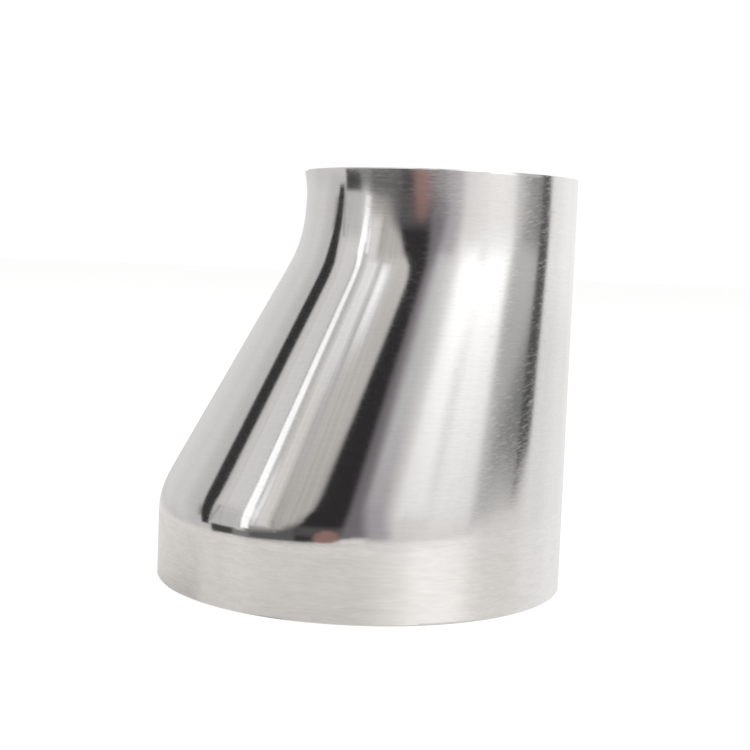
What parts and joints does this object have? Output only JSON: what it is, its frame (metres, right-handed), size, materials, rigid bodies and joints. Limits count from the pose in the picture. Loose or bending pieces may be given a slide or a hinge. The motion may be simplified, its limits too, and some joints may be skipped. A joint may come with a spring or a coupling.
{
  "type": "eccentric reducer",
  "caption": "Eccentric tube reducer with butt-weld ends: joins a large tube to a smaller one and keeps one side of the run straight.",
  "frame": {"origin": "centre of the large end's cut face, which is the face the part stands on", "axes": "+Z along the tube axis, from the large end to the small end; +X towards the straight side, on which the small end is set off; XZ is the plane of symmetry of the shape"},
  "size_m": [0.0762, 0.0762, 0.076],
  "materials": {
    "polished_steel": "stainless steel polished to a near mirror, with fine hairline scratches",
    "satin_steel": "stainless steel, satin, belt ground round the tube",
    "brushed_steel": "stainless steel, bright with fine brush marks round the tube",
    "ground_weld": "stainless steel weld metal, ground flush and polished over"
  },
  "bodies": {
    "root": {"large_end_ring": "satin_steel", "large_ring_seam_weld": "ground_weld", "large_girth_weld": "ground_weld", "eccentric_body": "polished_steel", "body_seam_weld": "ground_weld", "small_girth_weld": "ground_weld", "small_end_ring": "brushed_steel", "small_ring_seam_weld": "ground_weld"}
  },
  "joints": []
}
